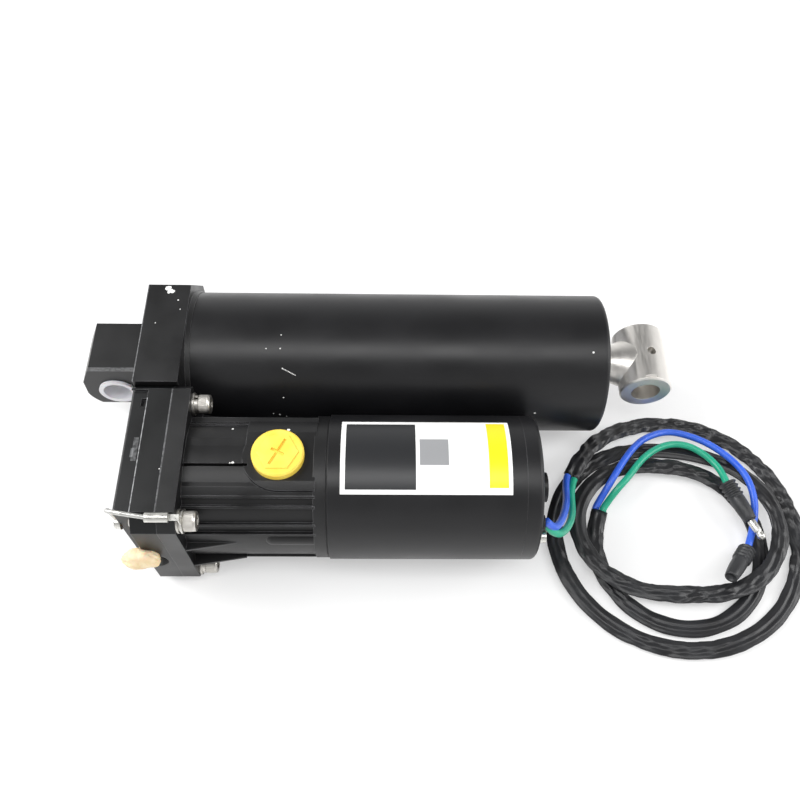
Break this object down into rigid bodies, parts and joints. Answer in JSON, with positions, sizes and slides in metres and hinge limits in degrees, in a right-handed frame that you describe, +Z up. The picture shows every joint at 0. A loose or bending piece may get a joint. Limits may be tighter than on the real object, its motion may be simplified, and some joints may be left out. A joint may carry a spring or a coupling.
{
  "type": "power trim and tilt unit",
  "caption": "Single-ram hydraulic trim and tilt unit: ram in a black tube on a cast base block, with a pump, reservoir and electric motor beside it and a coiled two-wire harness.",
  "frame": {"origin": "centre of the base pivot bore, midway between the outer faces of its two bushes", "axes": "+X along the ram to the rod eye, +Y to the back, away from the motor, +Z up with the unit lying on its side"},
  "size_m": [0.4113, 0.2024, 0.0818],
  "materials": {
    "black_casting": "satin",
    "black_paint": "satin",
    "machined_aluminium": "machined",
    "stainless": "polished",
    "chrome_rod": "polished",
    "steel": "machined",
    "zinc_steel": "plated",
    "bronze": "machined",
    "copper": "satin",
    "magnet": "matte",
    "nylon_white": "satin",
    "phenolic": "matte",
    "yellow_plastic": "gloss",
    "foam": "matte",
    "seal_rubber": "matte",
    "boot_rubber": "satin",
    "sleeve_vinyl": "satin",
    "blue_vinyl": "satin",
    "green_vinyl": "satin",
    "bare_wire": "tinned",
    "sticker_film": "gloss"
  },
  "bodies": {
    "unit": {"base_block": "black_casting", "pivot_bush_front": "nylon_white", "pivot_bush_back": "nylon_white", "ram_tube": "black_paint", "inner_barrel": "steel", "rod_gland": "machined_aluminium", "gland_o_ring": "seal_rubber", "rod_seal": "seal_rubber", "pump_manifold": "black_casting", "block_bolts": "steel", "manifold_seals": "seal_rubber", "port_foam": "foam", "check_valves": "bronze", "spool_plug": "steel", "pump_body": "machined_aluminium", "pump_cover": "machined_aluminium", "pump_screws": "steel", "pump_filter": "bronze", "reservoir": "black_casting", "can_gasket": "seal_rubber", "flange_screws": "stainless", "lock_washers": "stainless", "ground_terminals": "zinc_steel", "ground_lead": "bare_wire", "motor_can": "black_paint", "drive_plate": "machined_aluminium", "motor_bearings": "steel", "motor_magnets": "magnet", "brush_plate": "phenolic", "motor_end_cap": "black_paint", "through_bolts": "zinc_steel", "lead_grommet": "seal_rubber", "sticker": "sticker_film", "blue_lead": "blue_vinyl", "green_lead": "green_vinyl", "harness_sleeve": "sleeve_vinyl", "blue_tail": "blue_vinyl", "green_tail": "green_vinyl", "blue_boot": "boot_rubber", "green_boot": "boot_rubber", "bullet_pin": "zinc_steel"},
    "piston_ring": {"piston_ring": "seal_rubber"},
    "ram": {"ram_rod": "chrome_rod", "rod_eye": "stainless", "ram_piston": "bronze", "piston_nut": "steel", "shock_balls": "steel"},
    "memory": {"memory_piston": "machined_aluminium", "memory_ring": "seal_rubber"},
    "armature": {"armature": "steel", "windings": "copper", "commutator": "copper", "pump_coupling": "steel"},
    "pump_drive": {"drive_gear": "steel"},
    "pump_driven": {"driven_gear": "steel"},
    "shuttle": {"shuttle_spool": "steel"},
    "plug_seal": {"fill_plug_o_ring": "seal_rubber"},
    "fill_plug": {"fill_plug": "yellow_plastic"},
    "valve_seal": {"release_o_ring": "seal_rubber"},
    "release_valve": {"release_valve": "bronze"}
  },
  "joints": [
    {"name": "ram_slide", "type": "slide", "parent": "unit", "child": "piston_ring", "axis": [1, 0, 0], "range_m": [0, 0.152]},
    {"name": "rod_turn", "type": "hinge", "parent": "piston_ring", "child": "ram", "pos_m": [0.302, 0, 0.0085], "axis": [1, 0, 0], "continuous": true},
    {"name": "memory_slide", "type": "slide", "parent": "unit", "child": "memory", "axis": [1, 0, 0], "range_m": [0, 0.152]},
    {"name": "armature_spin", "type": "hinge", "parent": "unit", "child": "armature", "pos_m": [0.17, -0.079, 0.0085], "axis": [1, 0, 0], "continuous": true},
    {"name": "pump_drive_spin", "type": "hinge", "parent": "unit", "child": "pump_drive", "pos_m": [0.058, -0.079, 0.0085], "axis": [1, 0, 0], "continuous": true},
    {"name": "pump_driven_spin", "type": "hinge", "parent": "unit", "child": "pump_driven", "pos_m": [0.058, -0.079, -0.0065], "axis": [1, 0, 0], "continuous": true},
    {"name": "shuttle_slide", "type": "slide", "parent": "unit", "child": "shuttle", "axis": [0, 0, 1], "range_m": [-0.002, 0.002]},
    {"name": "fill_plug_lift", "type": "slide", "parent": "unit", "child": "plug_seal", "axis": [0, 0, 1], "range_m": [0, 0.01]},
    {"name": "fill_plug_turn", "type": "hinge", "parent": "plug_seal", "child": "fill_plug", "pos_m": [0.1005, -0.079, 0.044], "axis": [0, 0, 1], "range_deg": [0, 1800]},
    {"name": "release_valve_back", "type": "slide", "parent": "unit", "child": "valve_seal", "axis": [-1, 0, 0], "range_m": [0, 0.003]},
    {"name": "release_valve_turn", "type": "hinge", "parent": "valve_seal", "child": "release_valve", "pos_m": [0.03, -0.09085, 0.01357], "axis": [-1, 0, 0], "range_deg": [0, 1080]}
  ],
  "couplings": [
    {"joint": "memory_slide", "follows": "ram_slide", "ratio": 1},
    {"joint": "pump_drive_spin", "follows": "armature_spin", "ratio": 1},
    {"joint": "pump_driven_spin", "follows": "armature_spin", "ratio": -1},
    {"joint": "fill_plug_lift", "follows": "fill_plug_turn", "m_per_rad": 0.00031831},
    {"joint": "release_valve_back", "follows": "release_valve_turn", "m_per_rad": 0.00015915}
  ]
}
